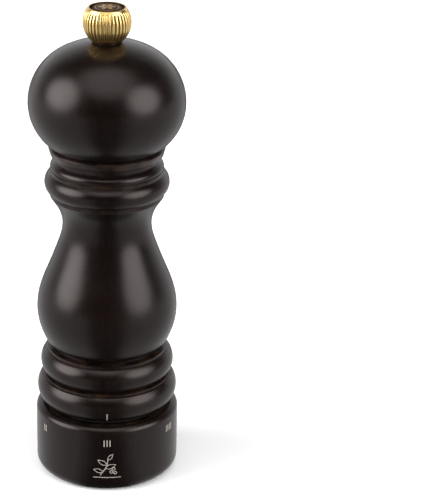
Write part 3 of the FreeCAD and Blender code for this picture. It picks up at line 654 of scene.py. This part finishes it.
def brass(name, bright, dull, oxide_and_shade_colour, roughness):
    """Brass: bright metal with faint cloudy dulling, and a dark brown by a point attribute: oxide in the
    disc's hollows, painted shade in the recess round the disc, darker rib grooves.
    """
    made, nodes, shader, place = material(name)
    shader.inputs["Metallic"].default_value = 1.0
    cloud = marks(nodes, place, 420.0, 5.0)
    metal = nodes.ramp(cloud, [(0.35, bright), (0.7, dull)])
    depth = nodes.add("ShaderNodeAttribute", attribute_name="oxide_and_painted_shade").outputs["Fac"]
    # Painted shade and oxide: the dark colour blends in where the attribute is high.
    shade = nodes.ramp(depth, [(0.25, (0,)), (0.95, (0.9,))])
    nodes.tree.links.new(nodes.blend(shade, metal, oxide_and_shade_colour), shader.inputs["Base Color"])
    clean = nodes.ramp(cloud, [(0.3, (roughness,)), (0.75, (roughness + 0.1,))])
    rough = nodes.maths("ADD", clean, nodes.maths("MULTIPLY", depth, 0.18))
    nodes.tree.links.new(rough, shader.inputs["Roughness"])
    nodes.relief(shader, marks(nodes, place, 3800.0, 2.0), 0.12, 0.00002)
    return made


polished = brass("polished_brass", (0.84, 0.60, 0.23), (0.62, 0.41, 0.14), (0.10, 0.052, 0.016), 0.2)
knob.data.materials.append(polished)

# The disc is a shallow dome. A six-petal rosette stands proud of its field, inside a thin bead. A petal
# reaches |cos 3a| ** 0.55 of its length at the angle a, and each edge of the relief is a smooth step.
disc_columns = 240
disc_r = np.concatenate([[0.0], np.linspace(0.15, DISC_RADIUS, 60)])
disc_angle = np.linspace(0, FULL_TURN, disc_columns, endpoint=False)
dome_rise = 0.38
relief_height = 0.12
dome = (DISC_RADIUS ** 2 + dome_rise ** 2) / (2 * dome_rise)
field_top = DISC_TOP - relief_height - dome + np.sqrt(dome ** 2 - disc_r ** 2)
petal_reach = 3.4 * np.abs(np.cos(3 * disc_angle)) ** 0.55
petal = np.clip((petal_reach[None, :] - disc_r[:, None]) / 0.35, 0, 1)
petal *= np.clip((disc_r[:, None] - 0.9) / 0.25, 0, 1)
button = np.clip((0.75 - disc_r[:, None]) / 0.2, 0, 1)
border = np.clip(1 - np.abs(disc_r[:, None] - 4.15) / 0.25, 0, 1)
relief = np.maximum(np.maximum(petal, button), border + 0 * disc_angle[None, :])
relief = relief * relief * (3 - 2 * relief)
top_z = field_top[:, None] + relief_height * relief
top_rows = np.stack([
    disc_r[:, None] * np.cos(disc_angle), disc_r[:, None] * np.sin(disc_angle), top_z,
], -1)[::-1]
base_rows = turn([(0, RECESS_FLOOR), (2.5, RECESS_FLOOR), (DISC_RADIUS, RECESS_FLOOR)], disc_columns)
disc_grid = np.vstack([base_rows, top_rows])
disc, disc_used = skin("knob_rosette", disc_grid, "knob", closed=False, sharp=40)
# Oxide darkens the disc's field round the raised rosette. Painted shade darkens the disc's underside and edge,
# down in the recess, fully.
disc_oxide_and_painted_shade = np.vstack([np.ones((3, disc_columns)), (1 - relief)[::-1]])
point_values(disc, "oxide_and_painted_shade", disc_oxide_and_painted_shade.reshape(-1)[disc_used])
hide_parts("knob_disc")
aged = brass("aged_brass", (0.40, 0.25, 0.12), (0.30, 0.17, 0.08), (0.025, 0.014, 0.009), 0.38)
disc.data.materials.append(aged)


# ---- Table, light and camera -------------------------------------------------------------------
# A plain white table under a soft tent: bright behind and low down, dark over the whole front, where the
# camera looks in, with broad softboxes to the left, to the right and above. The camera sees the table
# evenly white. For the mill's rays the table's colour is painted nearly black as shade, and the table
# glows in a painted pool of light at each side, dark in front.
TABLE_REACH = 6.0         # metres
TABLE_GLOW = 0.08
# Painted shade: the table's colour as the mill's rays see it, nearly black.
TABLE_PAINTED_SHADE_FOR_MILL = (0.07, 0.07, 0.07)
TENT_LEVEL = 1.15
TENT_FRONT = 1.13         # how much of the level is missing at the front

floor_mesh = bpy.data.meshes.new("table")
corners = [(x * TABLE_REACH, y * TABLE_REACH, 0) for x, y in ((-1, -1), (1, -1), (1, 1), (-1, 1))]
floor_mesh.from_pydata(corners, [], [[0, 1, 2, 3]])
floor = bpy.data.objects.new("table", floor_mesh)
bpy.context.collection.objects.link(floor)
paper, paper_nodes, paper_shader, paper_place = material("white_paper_with_painted_light")
fibre = marks(paper_nodes, paper_place, 30.0, 3.0)
paper_colour = paper_nodes.ramp(fibre, [(0.0, (0.90, 0.90, 0.90)), (1.0, (0.93, 0.93, 0.93))])
spot = paper_nodes.add("ShaderNodeSeparateXYZ", {"Vector": paper_place}).outputs
away = paper_nodes.add("ShaderNodeVectorMath", {0: paper_place}, operation="LENGTH").outputs["Value"]
aside = paper_nodes.maths("DIVIDE", paper_nodes.maths("ABSOLUTE", spot["X"]), away)
# Painted light: for the mill's rays the table glows, faintly in front and strongly out to each side.
painted_light_pool = paper_nodes.ramp(aside, [(0.30, (0.02,)), (0.62, (0.78,))])
direct = paper_nodes.add("ShaderNodeLightPath").outputs["Is Camera Ray"]
# Painted shade: the mill's rays see the table's colour nearly black, the camera sees it white.
paper_tone_with_painted_shade = paper_nodes.blend(direct, TABLE_PAINTED_SHADE_FOR_MILL, paper_colour)
paper_nodes.tree.links.new(paper_tone_with_painted_shade, paper_shader.inputs["Base Color"])
glow_with_painted_pools = paper_nodes.add("ShaderNodeMix", {0: direct, 2: painted_light_pool, 3: TABLE_GLOW}, data_type="FLOAT").outputs[0]
paper_nodes.tree.links.new(glow_with_painted_pools, paper_shader.inputs["Emission Strength"])
paper_shader.inputs["Roughness"].default_value = 0.9
paper_shader.inputs["Emission Color"].default_value = (1, 1, 1, 1)
paper_shader.inputs["Specular IOR Level"].default_value = 0.1
floor_mesh.materials.append(paper)

world = bpy.data.worlds.new("tent")
world.use_nodes = True
world.node_tree.nodes.clear()
tent = Nodes(world.node_tree)
bpy.context.scene.world = world
direction = tent.add("ShaderNodeTexCoord").outputs["Generated"]


def lobe(towards, inner, outer):
    """1 inside a cone of half-angle inner about a direction, falling smoothly to 0 at outer."""
    axis = Vector(towards).normalized()
    along = tent.add("ShaderNodeVectorMath", {0: direction, 1: axis}, operation="DOT_PRODUCT")
    low, high = (math.cos(math.radians(angle)) for angle in (outer, inner))
    limits = {"Value": along.outputs["Value"], "From Min": low, "From Max": high}
    return tent.add("ShaderNodeMapRange", limits, interpolation_type="SMOOTHSTEP").outputs[0]


dark_front = tent.maths("MULTIPLY", lobe((0, -0.86, 0.50), 92, 134), TENT_FRONT)
radiance = tent.maths("SUBTRACT", TENT_LEVEL, dark_front)
for towards, inner, outer, strength in (
    ((-0.90, -0.20, 0.40), 13, 32, 7.6),
    ((0.80, -0.47, 0.37), 12, 31, 6.0),
    ((0.0, -0.35, 0.94), 12, 42, 2.3),
):
    softbox = tent.maths("MULTIPLY", lobe(towards, inner, outer), strength)
    radiance = tent.maths("ADD", radiance, softbox)
seen = tent.add("ShaderNodeLightPath").outputs["Is Camera Ray"]
shown = tent.add("ShaderNodeMix", {0: seen, 2: radiance, 3: 1.0}, data_type="FLOAT").outputs[0]
background = tent.add("ShaderNodeBackground", {"Color": (1, 1, 1, 1), "Strength": shown})
tent.add("ShaderNodeOutputWorld", {"Surface": background.outputs[0]})

CAMERA_DISTANCE = 0.7692
CAMERA_HEIGHT = 0.4082
TILT = math.radians(22.56)
ASIDE = 0.0466            # how far the view turns right of the mill, as the sine of the angle
LENS = 165.67
ahead = Vector((0, math.cos(TILT), -math.sin(TILT)))
forward = ahead * math.sqrt(1 - ASIDE ** 2) + Vector((ASIDE, 0, 0))
up = Vector((1, 0, 0)).cross(forward).normalized()
across = forward.cross(up).normalized()
camera_data = bpy.data.cameras.new("camera")
camera_data.lens = LENS
camera_data.sensor_width = 36.0
camera_data.clip_end = 50.0
camera = bpy.data.objects.new("camera", camera_data)
bpy.context.collection.objects.link(camera)
turned_to = Matrix((across, up, -forward)).transposed().to_4x4()
camera.matrix_world = Matrix.Translation((0, -CAMERA_DISTANCE, CAMERA_HEIGHT)) @ turned_to
bpy.context.scene.camera = camera
bpy.context.scene.view_settings.view_transform = "Standard"
